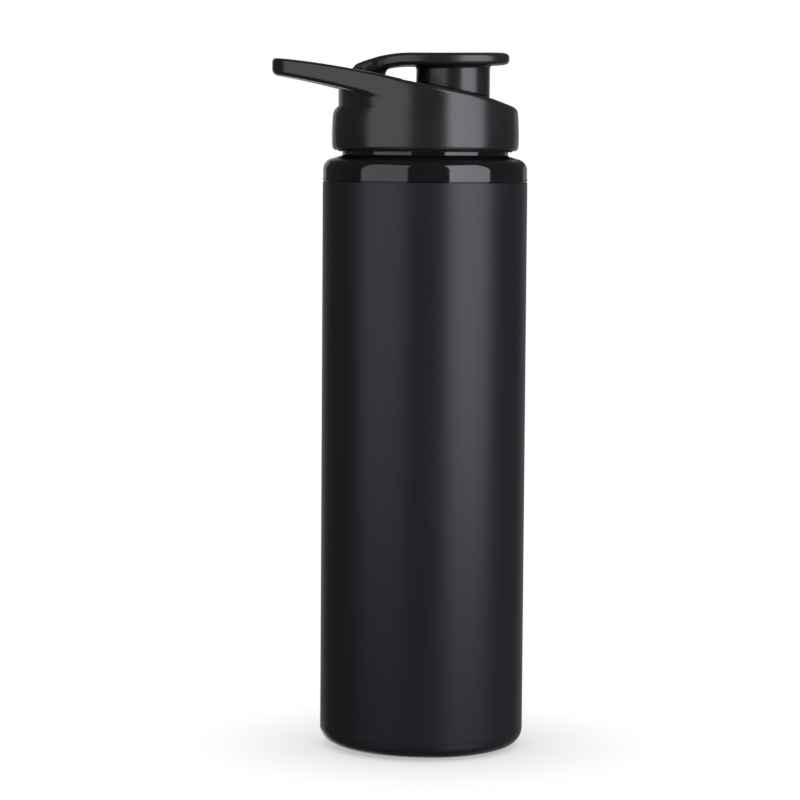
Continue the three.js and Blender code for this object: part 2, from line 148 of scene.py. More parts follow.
PLATE_THICKNESS = 4.3
TAB_LIFT = 0.6
PLATE_TOP = flip_high[2] - TAB_LIFT
PLATE_TOP_ROUND, PLATE_UNDER_ROUND = 1.7, 1.5
ROOT_SWELL = 1.5
WEB_START, WEB_END = HINGE_X + 5, -14.4
WEB_GAP, WEB_INSET, WEB_FILLET = 0.45, 0.6, 1.8
STRAP_HALF_WIDTH = 6.2
STRAP_FLARE_START, STRAP_FLARE_SLOPE = 7.0, 2
OVAL_START, OVAL_FILLET = 4.4, 5.0
STRAP_BEND_X = -6.0
BARREL_RADIUS, BARREL_FILLET = 3.2, 1.0
PIN_CLEARANCE = 0.2
SLOT_SIDE_GAP, SLOT_FRONT_GAP, SLOT_FLOOR_GAP = 0.5, 1.2, 0.6
STRAP_ROOM = 0.6
LUG_WIDTH, LUG_REACH = 6.5, 7
CUP_WALL = 1.6
CUP_GAP = 0.5
CUP_FLARE = 1.3
SPOUT_RADIUS, SPOUT_WALL = 9.8, 2.2
BALL_WIRE, BALL_TURNS, BALL_POLE = 2.0, 7, 14

TOP_RADIUS = LID_RADIUS - BARREL_DRAW
TIP_CENTRE = LOOP_TIP - LOOP_TIP_RADIUS
DECK_AXIS_Z = RIM_Z + DECK_RISE
CORE_LEFT = LID_RADIUS - RECESS_DEPTH
LOOP_LEAN = math.asin((LID_RADIUS - LOOP_TIP_RADIUS) / TIP_CENTRE)
SET_BACK_X = (LID_RADIUS**2 - CORE_LEFT**2) / (2 * (CORE_LEFT - LID_RADIUS * math.sin(LOOP_LEAN)))
SET_BACK_RADIUS = CORE_LEFT + SET_BACK_X
PLATE_UNDER = PLATE_TOP - PLATE_THICKNESS
PLATE_MID = PLATE_TOP - PLATE_THICKNESS / 2
CUP_ROOF_Z = PLATE_UNDER - 1.5
STRAP_RUN = STRAP_BEND_X - HINGE_X
STRAP_DROP = PLATE_MID - HINGE_Z
STRAP_RADIUS = (STRAP_RUN**2 + STRAP_DROP**2) / (2 * STRAP_DROP)

# ---------------------------------------------------------------- fields: negative inside a solid


def round_max(a, b, radius):
    """Intersection, with its outer edge rounded."""
    corner = np.hypot(np.maximum(a + radius, 0), np.maximum(b + radius, 0))
    return np.minimum(np.maximum(a, b), -radius) + corner


def round_min(a, b, radius):
    """Union, with its inner corner filled."""
    return -round_max(-a, -b, radius)


def soft_min(a, b, width):
    """Union, blended only where the two surfaces are within width of each other."""
    near = np.maximum(width - np.abs(a - b), 0) / width
    return np.minimum(a, b) - near * near * width / 4


def teardrop(x, y, large, small, distance):
    """Plan outline round a large circle at the origin and a small one at -distance on the X axis."""
    across, along = np.abs(y), -x
    lean = (large - small) / distance
    straight = math.sqrt(1 - lean * lean)
    reach = along * straight - across * lean
    near_large = np.hypot(across, along) - large
    near_small = np.hypot(across, along - distance) - small
    between = across * straight + along * lean - large
    return np.where(reach < 0, near_large, np.where(reach > straight * distance, near_small, between))


def outline(points, a, b):
    """Signed distance to a closed outline of straight sides."""
    nearest = np.full(a.shape, np.inf)
    inside = np.zeros(a.shape, bool)
    for (a0, b0), (a1, b1) in zip(points, points[1:] + points[:1]):
        da, db = a1 - a0, b1 - b0
        share = np.clip(((a - a0) * da + (b - b0) * db) / (da * da + db * db), 0, 1)
        nearest = np.minimum(nearest, (a - a0 - share * da) ** 2 + (b - b0 - share * db) ** 2)
        if db:
            crossed = (b0 > b) != (b1 > b)
            inside ^= crossed & (a < a0 + da * (b - b0) / db)
    return np.where(inside, -1, 1) * np.sqrt(nearest)


def deck_z(x):
    """Height of the lid's slanted upper surface."""
    front = np.hypot(np.maximum(x - LID_RADIUS + FRONT_BEND, 0), FRONT_ROUND) - FRONT_ROUND
    back = (np.hypot(x + LOOP_START, LOOP_START_ROUND) - x - LOOP_START) / 2
    loop_rise = LOOP_STEEPENING * back - LOOP_LEVELLING * back**2
    return DECK_AXIS_Z - DECK_SLOPE * x - FRONT_SLOPE * front + loop_rise


def lift(x):
    """Height that the flip plate gains over x, as it curves up towards its thumb tab."""
    return TAB_LIFT * (np.maximum(x, 0) / PLATE_END) ** 2


def below_deck(x, z, drop=0.0):
    """Distance above the deck, or above a surface that lies drop below it."""
    steepness = (deck_z(x + 0.1) - deck_z(x - 0.1)) / 0.2
    return (z - deck_z(x) + drop) / np.sqrt(1 + steepness**2)


def cover_wall(x, y, z):
    """The cover's side: a slight barrel, set back under the loop with a rounded shoulder."""
    widest_z = COVER_BOTTOM + WIDEST_RISE
    above = np.clip((z - widest_z) / (RECESS_Z - widest_z), 0, 1)
    below = np.clip((widest_z - z) / (widest_z - COVER_BOTTOM), 0, 1.1)
    barrel = LID_RADIUS - BARREL_DRAW * above**1.5 - BARREL_TUCK * below**3
    angle = np.arctan2(y, x)
    set_back = SET_BACK_X * np.cos(angle) + np.sqrt(SET_BACK_RADIUS**2 - (SET_BACK_X * np.sin(angle)) ** 2)
    depth = TOP_RADIUS - set_back
    depth = (depth + np.hypot(depth, RECESS_SOFTNESS)) / 2
    climb = np.clip((z - RECESS_Z + RECESS_ROUND) / RECESS_ROUND, 0, RECESS_CLIMB)
    shoulder = (1 - np.sqrt(1 - climb**2)) / (1 - math.sqrt(1 - RECESS_CLIMB**2))
    return np.hypot(x, y) - barrel + depth * shoulder


def from_hinge(x, z):
    """Distance from the hinge's axis."""
    return np.hypot(x - HINGE_X, z - HINGE_Z)


def strap_side(x, z):
    """Height above the middle of the flip plate and of the strap that bends down from it."""
    centre_z = PLATE_MID - STRAP_RADIUS
    bent = np.hypot(x - STRAP_BEND_X, z - centre_z) - STRAP_RADIUS
    return np.where(x > STRAP_BEND_X, z - PLATE_MID - lift(x), bent)


def plate_plan(x, y):
    """Oval plate that narrows to its strap, which stays clear of the slot's sides as it swings."""
    left = HINGE_X + OVAL_START
    centre = (left + PLATE_END) / 2
    half_length = (PLATE_END - left) / 2
    share = np.hypot((x - centre) / half_length, y / PLATE_HALF_WIDTH)
    oval = (share - 1) * np.where(share > 0, PLATE_HALF_WIDTH, 1)
    strap = np.maximum(np.abs(y) - STRAP_HALF_WIDTH, x - centre)
    flare = STRAP_FLARE_SLOPE * np.maximum(x - HINGE_X - STRAP_FLARE_START, 0)
    return np.maximum(round_min(oval, strap, OVAL_FILLET), np.abs(y) - STRAP_HALF_WIDTH - flare)


def strap_web(x, y, z):
    """Web that fills the corner between the strap's underside and the lid's deck."""
    ends = np.maximum(x - WEB_END, WEB_START - x)
    web = np.maximum(ends, -below_deck(x, z, -WEB_GAP))
    web = np.maximum(web, strap_side(x, z))
    return np.maximum(web, np.abs(y) - STRAP_HALF_WIDTH + WEB_INSET)


def flip_plate(x, y, z):
    """The flip cap's plate and strap, with the web and the hinge barrel."""
    plan = np.maximum(plate_plan(x, y), HINGE_X - x)
    height = strap_side(x, z)
    swell = ROOT_SWELL * (np.clip(STRAP_BEND_X - x, 0, STRAP_RUN) / STRAP_RUN) ** 2
    plate = round_max(plan, height - PLATE_THICKNESS / 2 - swell, PLATE_TOP_ROUND)
    plate = round_max(plate, -height - PLATE_THICKNESS / 2, PLATE_UNDER_ROUND)
    plate = round_min(plate, strap_web(x, y, z), WEB_FILLET)
    barrel = round_max(from_hinge(x, z) - BARREL_RADIUS, np.abs(y) - STRAP_HALF_WIDTH, 0.5)
    pin_hole = from_hinge(x, z) - PIN_RADIUS - PIN_CLEARANCE
    return np.maximum(round_min(plate, barrel, BARREL_FILLET), -pin_hole)


def carry_loop(x, y, z):
    """The loop that continues the deck, thicker towards the lid, with rounded edges inside and out."""
    thickening = LOOP_ROOT_THICKNESS - LOOP_TIP_THICKNESS
    thickness = LOOP_TIP_THICKNESS + thickening * (LOOP_TIP + x) / (LOOP_TIP + LOOP_ROOT_X)
    top = below_deck(x, z)
    under = -below_deck(x, z, thickness)
    sinking = LOOP_SINK * np.clip((x - LOOP_SINK_START) / LOOP_SINK_RUN, 0, 1) ** 2
    outer = teardrop(x, y, TOP_RADIUS, LOOP_TIP_RADIUS, TIP_CENTRE) + sinking
    inner = -teardrop(x, y, TOP_RADIUS - LOOP_BAND, LOOP_TIP_RADIUS - LOOP_BAND, TIP_CENTRE)
    outside = round_max(round_max(outer, top, LOOP_TOP_ROUND), under, LOOP_UNDER_ROUND)
    inside = round_max(round_max(inner, top, LOOP_INNER_ROUND), under, LOOP_INNER_ROUND)
    return np.maximum(np.maximum(outside, inside), x - LOOP_END_X)


def cover_inside(x, y, z):
    """The cover's inside: the insert's seat, and the hollow above it around the hinge's lugs."""
    radius = np.hypot(x, y)
    bore_radius = INSERT_RADIUS + COVER_TO_INSERT
    across, along = INSERT_CONE_NORMAL
    cone = across * (radius - bore_radius) + along * (z - RIM_Z - INSERT_CONE_RISE)
    bore = np.maximum(np.maximum(radius - bore_radius, cone), z - INSERT_ROOM_TOP)
    lugs = np.maximum(x - HINGE_X - LUG_REACH, np.abs(y) - STRAP_HALF_WIDTH - LUG_WIDTH)
    hollow = np.maximum(cover_wall(x, y, z) + DECK_WALL, below_deck(x, z, DECK_WALL))
    hollow = np.maximum(np.maximum(hollow, INSERT_ROOM_TOP - 0.5 - z), -lugs)
    return bore, hollow


def hinge_slot(x, y, z):
    """The slot that the hinge barrel and the strap's root turn in, open to the back."""
    front = x - HINGE_X - BARREL_RADIUS - SLOT_FRONT_GAP
    slot = np.maximum(np.abs(y) - STRAP_HALF_WIDTH - SLOT_SIDE_GAP, front)
    slot = np.maximum(slot, -LID_RADIUS - 1 - x)
    return round_max(slot, HINGE_Z - BARREL_RADIUS - SLOT_FLOOR_GAP - z, 0.8)


def lid_cover(x, y, z):
    """The lid's outer shell with its deck, carry loop, hinge slot and spout hole."""
    core = round_max(cover_wall(x, y, z), below_deck(x, z), RIM_ROUND)
    core = round_max(core, COVER_BOTTOM - z, BOTTOM_ROUND)
    body = soft_min(core, carry_loop(x, y, z), LOOP_BLEND)
    bore, hollow = cover_inside(x, y, z)
    body = round_max(body, -bore, 0.3)
    body = np.maximum(body, -hollow)
    spout_hole = np.hypot(x - SPOUT_X, y) - SPOUT_RADIUS - 0.4
    spout_hole = np.maximum(spout_hole, INSERT_ROOM_TOP - 0.5 - z)
    body = round_max(body, -spout_hole, 0.4)
    body = round_max(body, -hinge_slot(x, y, z), 0.5)
    body = round_max(body, STRAP_ROOM - flip_plate(x, y, z), 0.4)
    pin_hole = np.maximum(from_hinge(x, z) - PIN_RADIUS - PIN_CLEARANCE, np.abs(y) - pin_high[1] - 0.3)
    return np.maximum(body, -pin_hole)


def cap_cup(x, y, z):
    """The cup under the plate, which flares into it and ends just above the slanted deck."""
    radius = np.hypot(x - SPOUT_X, y)
    under_plate = z - PLATE_UNDER - lift(x)
    flared = round_min(radius - CUP_RADIUS, -under_plate, CUP_FLARE)
    flared = np.maximum(np.maximum(flared, radius - CUP_RADIUS - CUP_FLARE), under_plate - 0.2)
    edge = -below_deck(x, z, -CUP_GAP)
    outside = round_max(flared, edge, 0.4)
    inside = np.maximum(radius - CUP_RADIUS + CUP_WALL, z - CUP_ROOF_Z)
    return round_max(outside, -inside, 0.4)


def lid_insert(x, y, z):
    """The insert: a shell turned about the bottle's axis, and the spout that stands on it."""
    radius = np.hypot(x, y)
    plate_under = INSERT_PLATE_UNDER
    plate_top = plate_under + INSERT_PLATE
    bore = INSERT_RADIUS - INSERT_WALL
    ring_out = NECK_RADIUS - NECK_WALL - PLUG_RING_GAP
    ring_in = ring_out - PLUG_RING_WALL
    pocket = gasket_high[0] + 0.3
    low = insert_low[2]
    shell = outline(
        [
            (ring_in, RIM_Z - PLUG_RING_REACH),
            (ring_out - 0.5, RIM_Z - PLUG_RING_REACH),
            (ring_out, RIM_Z - 3.2),
            (ring_out, plate_under),
            (pocket, plate_under),
            (pocket + 0.6, RIM_Z - 0.4),
            (bore, RIM_Z - 1),
            (bore, low),
            (INSERT_RADIUS - 0.9, low),
            (INSERT_RADIUS, low + 0.8),
            (INSERT_RADIUS, RIM_Z + 1),
            (INSERT_RADIUS - 2.2, plate_top),
            (-5, plate_top),
            (-5, plate_under),
            (ring_in, plate_under),
        ],
        radius,
        z,
    )
    from_spout = np.hypot(x - SPOUT_X, y)
    spout = round_max(from_spout - SPOUT_RADIUS, z - SPOUT_TOP, 0.9)
    spout = np.maximum(spout, plate_under - z)
    body = round_min(shell, spout, 0.8)
    through = np.maximum(from_spout - SPOUT_RADIUS + SPOUT_WALL, plate_under - 1 - z)
    return round_max(body, -through, 0.9)


# ---------------------------------------------------------------- meshes
CELL_CORNERS = [(i, j, k) for i in (0, 1) for j in (0, 1) for k in (0, 1)]
SHARP_TURNED, SHARP_THREAD = 32, 50


def slope_of(field, points, step=0.02):
    """A field's gradient at each point."""
    parts = []
    for axis in range(3):
        shift = np.zeros(3)
        shift[axis] = step
        ahead, behind = points + shift, points - shift
        parts.append((field(*ahead.T) - field(*behind.T)) / (2 * step))
    return np.stack(parts, axis=1)


def cells_at_surface(inside):
    """Marks the cells whose eight corners are neither all inside nor all outside."""
    cells = np.array(inside.shape) - 1
    count = np.zeros(cells, np.int8)
    for i, j, k in CELL_CORNERS:
        count += inside[i : i + cells[0], j : j + cells[1], k : k + cells[2]]
    return (count > 0) & (count < 8)


def mean_crossings(value, where):
    """In each cell, the mean of the points where its edges cross the surface."""
    at_corner = {c: value[tuple((where + c).T)] for c in CELL_CORNERS}
    total = np.zeros((len(where), 3))
    crossings = np.zeros(len(where))
    for start in CELL_CORNERS:
        for axis in range(3):
            if start[axis]:
                continue
            end = tuple(1 if a == axis else s for a, s in enumerate(start))
            a, b = at_corner[start], at_corner[end]
            cut = (a < 0) != (b < 0)
            share = np.where(cut, a / np.where(cut, a - b, 1), 0)
            place = np.array(start, float)[None, :].repeat(len(where), 0)
            place[:, axis] += share
            total += place * cut[:, None]
            crossings += cut
    return total / crossings[:, None]


def surface_quads(inside, number):
    """A quad round each grid edge that crosses the surface, from the numbers of its four cells."""
    quads = []
    for axis in range(3):
        ahead = [slice(None)] * 3
        behind = [slice(None)] * 3
        ahead[axis], behind[axis] = slice(1, None), slice(None, -1)
        first = inside[tuple(behind)]
        edge = np.argwhere(first != inside[tuple(ahead)])
        u, v = (axis + 1) % 3, (axis + 2) % 3
        edge = edge[(edge[:, u] > 0) & (edge[:, v] > 0)]
        step_u, step_v = np.eye(3, dtype=int)[u], np.eye(3, dtype=int)[v]
        ring = [edge, edge - step_u, edge - step_u - step_v, edge - step_v]
        faces = np.stack([number[tuple(c.T)] for c in ring], axis=1)
        outwards = first[tuple(edge.T)]
        quads.append(np.where(outwards[:, None], faces, faces[:, ::-1]))
    return np.concatenate(quads)


def surface(name, field, low, high, cell):
    """Quads over the surface where a field is zero, within a box, with corners moved onto that surface."""
    axes = [np.arange(a - 2 * cell, b + 2.5 * cell, cell) for a, b in zip(low, high)]
    value = field(*np.meshgrid(*axes, indexing="ij"))
    inside = value < 0
    mixed = cells_at_surface(inside)
    where = np.argwhere(mixed)
    number = np.full(mixed.shape, -1)
    number[mixed] = np.arange(len(where))
    origin = np.array([a[0] for a in axes])
    points = origin + (where + mean_crossings(value, where)) * cell
    for _ in range(4):
        slope = slope_of(field, points)
        steepness = (slope**2).sum(1) + 1e-9
        move = slope * (field(*points.T) / steepness)[:, None]
        reach = np.linalg.norm(move, axis=1, keepdims=True)
        points -= move * np.minimum(1, 0.5 * cell / (reach + 1e-12))
    mesh = bpy.data.meshes.new(name)
    mesh.from_pydata((points * MM).tolist(), [], surface_quads(inside, number).tolist())
    mesh.validate()
    mesh.shade_smooth()
    normals = slope_of(field, points)
    normals /= np.linalg.norm(normals, axis=1, keepdims=True) + 1e-12
    if len(mesh.vertices) == len(normals):
        mesh.normals_split_custom_set_from_vertices(normals.tolist())
    return placed(name, mesh)


def placed(name, mesh):
    """A new object in the scene that holds this mesh or curve."""
    piece = bpy.data.objects.new(name, mesh)
    bpy.context.scene.collection.objects.link(piece)
    return piece


def arc(centre_r, centre_z, radius, start, end, steps=10):
    """Points on an arc of a profile, from one angle to another in degrees."""
    angles = np.radians(np.linspace(start, end, steps + 1))
    return [(centre_r + radius * math.cos(a), centre_z + radius * math.sin(a)) for a in angles]


def turned(name, profile, steps=192, centre_x=0.0):
    """A closed profile of (radius, height), listed anticlockwise, turned about a vertical axis."""
    angles = np.linspace(0, 2 * math.pi, steps, endpoint=False)
    points, rings = [], []
    for radius, height in profile:
        if radius < 1e-6:
            rings.append([len(points)] * steps)
            points.append((centre_x, 0, height))
        else:
            rings.append(list(range(len(points), len(points) + steps)))
            points += [(centre_x + radius * math.cos(a), radius * math.sin(a), height) for a in angles]
    on_axis = profile[0][0] < 1e-6 and profile[-1][0] < 1e-6
    pairs = list(zip(rings, rings[1:])) + ([] if on_axis else [(rings[-1], rings[0])])
    faces = []
    for lower, upper in pairs:
        for i in range(steps):
            j = (i + 1) % steps
            corners = [lower[i], lower[j], upper[j], upper[i]]
            face = [c for k, c in enumerate(corners) if c != corners[k - 1]]
            if len(face) > 2:
                faces.append(face)
    mesh = bpy.data.meshes.new(name)
    mesh.from_pydata((np.array(points) * MM).tolist(), [], faces)
    mesh.validate()
    mesh.shade_smooth()
    mesh.set_sharp_from_angle(angle=math.radians(SHARP_TURNED))
    piece = placed(name, mesh)
    weighted = piece.modifiers.new("weighted", "WEIGHTED_NORMAL")
    weighted.keep_sharp = True
    return piece


def ridge(name, root, crest, start_z, root_height, crest_height, steps_per_turn=96):
    """A screw thread's ridge, which fades out at both ends. A crest smaller than the root faces inwards."""
    steps = round(steps_per_turn * THREAD_TURNS)
    sunk = -0.4 if root < crest else 0.4
    points, faces = [], []
    for i in range(steps + 1):
        angle = 2 * math.pi * i / steps_per_turn
        z = start_z + THREAD_PITCH * i / steps_per_turn
        fade = min(1, min(i, steps - i) / (0.2 * steps_per_turn))
        top = root + (crest - root) * (0.05 + 0.95 * math.sin(fade * math.pi / 2))
        section = [
            (root + sunk, -root_height / 2),
            (root, -root_height / 2),
            (top - 0.3 * (top - root), -crest_height / 2 - 0.12),
            (top, -crest_height / 2 + 0.15),
            (top, crest_height / 2 - 0.15),
            (top - 0.3 * (top - root), crest_height / 2 + 0.12),
            (root, root_height / 2),
            (root + sunk, root_height / 2),
        ]
        points += [(r * math.cos(angle), r * math.sin(angle), z + h) for r, h in section]
    for i in range(steps):
        for k in range(8):
            a, b = 8 * i + k, 8 * i + (k + 1) % 8
            faces.append((a, a + 8, b + 8, b))
    faces += [tuple(range(8)), tuple(reversed(range(8 * steps, 8 * steps + 8)))]
    mesh = bpy.data.meshes.new(name)
    mesh.from_pydata((np.array(points) * MM).tolist(), [], faces)
    if crest < root:
        mesh.flip_normals()
    mesh.shade_smooth()
    mesh.set_sharp_from_angle(angle=math.radians(SHARP_THREAD))
    return placed(name, mesh)


# ---------------------------------------------------------------- materials


def new_material(name, colour, roughness, **sockets):
    """A Principled material whose other sockets are set by name."""
    material = bpy.data.materials.new(name)
    material.use_nodes = True
    shader = material.node_tree.nodes["Principled BSDF"]
    shader.inputs["Base Color"].default_value = (*colour, 1)
    shader.inputs["Roughness"].default_value = roughness
    for socket, value in sockets.items():
        shader.inputs[socket.replace("_", " ")].default_value = value
    return material


def grain(material, size, detail=4.0, stretch=(1, 1, 1)):
    """A noise pattern whose features are about size millimetres across."""
    nodes, links = material.node_tree.nodes, material.node_tree.links
    place = nodes.new("ShaderNodeTexCoord")
    mapping = nodes.new("ShaderNodeMapping")
    mapping.inputs["Scale"].default_value = [s / (size * MM) for s in stretch]
    noise = nodes.new("ShaderNodeTexNoise")
    noise.inputs["Scale"].default_value = 1.0
    noise.inputs["Detail"].default_value = detail
    links.new(place.outputs["Object"], mapping.inputs["Vector"])
    links.new(mapping.outputs["Vector"], noise.inputs["Vector"])
    return noise.outputs["Fac"]


def spread(material, factor, low, high):
    """A number that runs from low to high over the middle of a noise pattern."""
    node = material.node_tree.nodes.new("ShaderNodeMapRange")
    node.inputs["From Min"].default_value = 0.3
    node.inputs["From Max"].default_value = 0.7
    node.inputs["To Min"].default_value = low
    node.inputs["To Max"].default_value = high
    material.node_tree.links.new(factor, node.inputs["Value"])
    return node.outputs["Result"]


def tint(material, factor, dark, light):
    """A colour that runs from dark to light over a noise pattern."""
    node = material.node_tree.nodes.new("ShaderNodeValToRGB")
    node.color_ramp.elements[0].position = 0.3
    node.color_ramp.elements[1].position = 0.7
    node.color_ramp.elements[0].color = (*dark, 1)
    node.color_ramp.elements[1].color = (*light, 1)
    material.node_tree.links.new(factor, node.inputs["Fac"])
    return node.outputs["Color"]


def bump(material, heights):
    """Relief from (pattern, depth in millimetres) pairs, one upon the other."""
    nodes, links = material.node_tree.nodes, material.node_tree.links
    below = None
    for pattern, depth in heights:
        node = nodes.new("ShaderNodeBump")
        node.inputs["Distance"].default_value = depth * MM
        links.new(pattern, node.inputs["Height"])
        if below:
            links.new(below, node.inputs["Normal"])
        below = node.outputs["Normal"]
    links.new(below, nodes["Principled BSDF"].inputs["Normal"])


def wire(material, socket, output):
    """Links an output to one of the shader's sockets."""
    material.node_tree.links.new(output, material.node_tree.nodes["Principled BSDF"].inputs[socket])


def powder_coat():
    """Satin black powder coat: a fine even grain, with faint cloudiness where the coat is thicker."""
    sheen = {"Specular_IOR_Level": 0.32, "Specular_Tint": (1, 0.95, 1.08, 1)}
    material = new_material("powder_coat", (0.012, 0.0112, 0.0128), 0.35, **sheen)
    cloud = grain(material, 45, detail=3, stretch=(1, 1, 0.35))
    fine = grain(material, 0.45, detail=2)
    wire(material, "Base Color", tint(material, cloud, (0.0105, 0.0098, 0.0112), (0.0135, 0.0126, 0.0145)))
    wire(material, "Roughness", spread(material, cloud, 0.335, 0.37))
    bump(material, [(fine, 0.012)])
    return material


def gloss_black():
    """High-gloss black moulding, with the faintest waviness."""
    material = new_material("gloss_black", (0.006, 0.006, 0.0065), 0.07)
    wave = grain(material, 18, detail=1)
    haze = grain(material, 6, detail=4)
    wire(material, "Base Color", tint(material, haze, (0.0052, 0.0052, 0.0056), (0.0068, 0.0067, 0.0073)))
    wire(material, "Roughness", spread(material, haze, 0.06, 0.1))
    bump(material, [(wave, 0.02)])
    return material


def satin_black(name, colour, roughness):
    """Moulded black plastic with a spark-eroded grain."""
    material = new_material(name, colour, roughness)
    dark = tuple(0.88 * c for c in colour)
    light = tuple(1.12 * c for c in colour)
    cloud = grain(material, 14, detail=3)
    fine = grain(material, 0.32, detail=2)
    wire(material, "Base Color", tint(material, cloud, dark, light))
    wire(material, "Roughness", spread(material, cloud, roughness - 0.02, roughness + 0.03))
    bump(material, [(fine, 0.01)])
    return material


def silicone(name, dark, light):
    """Soft silicone, slightly milky, with a dusty surface."""
    material = new_material(name, dark, 0.55, Subsurface_Weight=0.08, Subsurface_Scale=0.002)
    cloud = grain(material, 5, detail=4)
    fine = grain(material, 0.4, detail=2)
    wire(material, "Base Color", tint(material, cloud, dark, light))
    wire(material, "Roughness", spread(material, cloud, 0.5, 0.62))
    bump(material, [(fine, 0.01)])
    return material


def bright_steel():
    """Drawn and polished stainless steel, with fine scratches along it."""
    material = new_material("bright_steel", (0.6, 0.6, 0.61), 0.2, Metallic=1.0)
    smear = grain(material, 3, detail=5)
    scratch = grain(material, 0.25, detail=3, stretch=(1, 1, 0.2))
    wire(material, "Base Color", tint(material, smear, (0.54, 0.54, 0.55), (0.66, 0.66, 0.66)))
    wire(material, "Roughness", spread(material, smear, 0.16, 0.26))
    bump(material, [(scratch, 0.004)])
    return material


COAT = powder_coat()
GLOSS = gloss_black()
COVER_PLASTIC = satin_black("cover_plastic", (0.012, 0.0113, 0.0126), 0.23)
CAP_PLASTIC = satin_black("cap_plastic", (0.0125, 0.0122, 0.0128), 0.27)
INSERT_PLASTIC = satin_black("insert_plastic", (0.03, 0.03, 0.032), 0.3)
PALE_SILICONE = silicone("pale_silicone", (0.3, 0.3, 0.31), (0.36, 0.36, 0.37))
DARK_SILICONE = silicone("dark_silicone", (0.015, 0.015, 0.016), (0.022, 0.022, 0.023))
STEEL = bright_steel()


def dress(piece, material, body, slot, *nodes):
    """Gives a piece its material, and says which body carries it and which CAD nodes it stands for."""
    piece.data.materials.clear()
    piece.data.materials.append(material)
    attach(piece, body)
    if nodes:
        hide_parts(*nodes)


# ---------------------------------------------------------------- bottle


def make_can():
    """The thin steel can, with a rounded base, a foot ring and a turned-in top edge."""
    corner_r = BOTTLE_RADIUS - BASE_CORNER
    ring_inner = corner_r - FOOT_RING
    floor_z = FOOT_Z + BASE_RECESS
    profile = [
        (0, floor_z),
        (ring_inner - BASE_RECESS - 0.4, floor_z),
        *arc(ring_inner - BASE_RECESS - 0.4, floor_z - 0.4, 0.4, 90, 45, 3),
        *arc(ring_inner, FOOT_Z + 0.4, 0.4, 225, 270, 3),
        *arc(corner_r, FOOT_Z + BASE_CORNER, BASE_CORNER, -90, 0, 20),
        (BOTTLE_RADIUS, SEAM_Z - 1.5),
        *arc(BOTTLE_RADIUS - 0.25, SEAM_Z - 0.25, 0.25, 0, 90, 4),
        (BOTTLE_RADIUS - CAN_WALL, SEAM_Z),
        *arc(corner_r, FOOT_Z + BASE_CORNER, BASE_CORNER - CAN_WALL, 0, -60, 12),
        (ring_inner, floor_z + CAN_WALL),
        (0, floor_z + CAN_WALL),
    ]
    dress(turned("can", profile, steps=256), COAT, "bottle", "coated_steel", "body_can")


def make_base_pad():
    """The non-slip pad, with grooved rings underneath."""
    radius, top = pad_high[0], pad_high[2]
    groove = 0.25
    profile = [(0, 0)]
    for ring in np.arange(5.0, radius - 3, 4.0):
        profile += [(ring, 0), (ring + 0.3, groove), (ring + 0.9, groove), (ring + 1.2, 0)]
    profile += [*arc(radius - 0.3, 0.3, 0.3, -90, 0, 4), (radius, top), (0, top)]
    dress(turned("non_slip_pad", profile), DARK_SILICONE, "bottle", "black_rubber", "base_pad")


def make_collar():
    """The gloss collar, its shoulder and bead, and the neck with its screw thread."""
    corner_z = SHOULDER_Z - 0.9 - SHOULDER_CORNER
    corner_r = BOTTLE_RADIUS - SHOULDER_CORNER
    bore = NECK_RADIUS - NECK_WALL
    skirt_out = BOTTLE_RADIUS - CAN_WALL - 0.3
    skirt_in = skirt_out - 2.8
    seal_mid = (seal_low[2] + seal_high[2]) / 2
    bead = 0.12
    profile = [
        (skirt_in, collar_low[2]),
        (skirt_out, collar_low[2]),
        (skirt_out, seal_mid - 1.2),
        (skirt_out - 1.8, seal_mid - 1.2),
        (skirt_out - 1.8, seal_mid + 1.2),
        (skirt_out, seal_mid + 1.2),
        (skirt_out, SEAM_Z + 0.15),
        *arc(BOTTLE_RADIUS - 0.3, SEAM_Z + 0.45, 0.3, -90, 0, 4),
        (BOTTLE_RADIUS, SEAM_Z + 1.2),
        (BOTTLE_RADIUS - bead, SEAM_Z + 1.5),
        (BOTTLE_RADIUS - bead, corner_z - 0.6),
        *arc(corner_r - bead, corner_z, SHOULDER_CORNER, 0, 80, 16),
        (BEAD_RADIUS + 1.0, SHOULDER_Z - 0.15),
        *arc(BEAD_RADIUS + 0.6, SHOULDER_Z + 0.5, 0.6, 260, 180, 5),
        (BEAD_RADIUS, SHOULDER_Z + 1.9),
        *arc(BEAD_RADIUS - 0.5, SHOULDER_Z + 1.9, 0.5, 0, 90, 4),
        (NECK_RADIUS, SHOULDER_Z + 2.7),
        *arc(NECK_RADIUS - 0.9, RIM_Z - 0.9, 0.9, 0, 90, 6),
        *arc(bore + 0.9, RIM_Z - 0.9, 0.9, 90, 180, 6),
        (bore, SHOULDER_Z - 2),
        (skirt_in - 1, SEAM_Z + 3.4),
        (skirt_in, SEAM_Z + 2),
    ]
    dress(turned("collar", profile, steps=256), GLOSS, "bottle", "gloss_black", "neck_collar")
    start = SHOULDER_Z + THREAD_START
    thread = ridge("collar_thread", NECK_RADIUS, NECK_RADIUS + THREAD_DEPTH, start, 2.0, 0.8)
    dress(thread, GLOSS, "bottle", "gloss_black")


def make_seal(name, low, high, width, body, node):
    """A soft ring with rounded edges."""
    bottom, top, outer = low[2], high[2], high[0]
    inner = outer - width
    round_off = min(0.5, (top - bottom) * 0.45)
    profile = [
        *arc(inner + round_off, bottom + round_off, round_off, 180, 270, 5),
        *arc(outer - round_off, bottom + round_off, round_off, 270, 360, 5),
        *arc(outer - round_off, top - round_off, round_off, 0, 90, 5),
        *arc(inner + round_off, top - round_off, round_off, 90, 180, 5),
    ]
    dress(turned(name, profile), PALE_SILICONE, body, "silicone", node)


# ---------------------------------------------------------------- lid and flip cap
MARGIN = 0.5


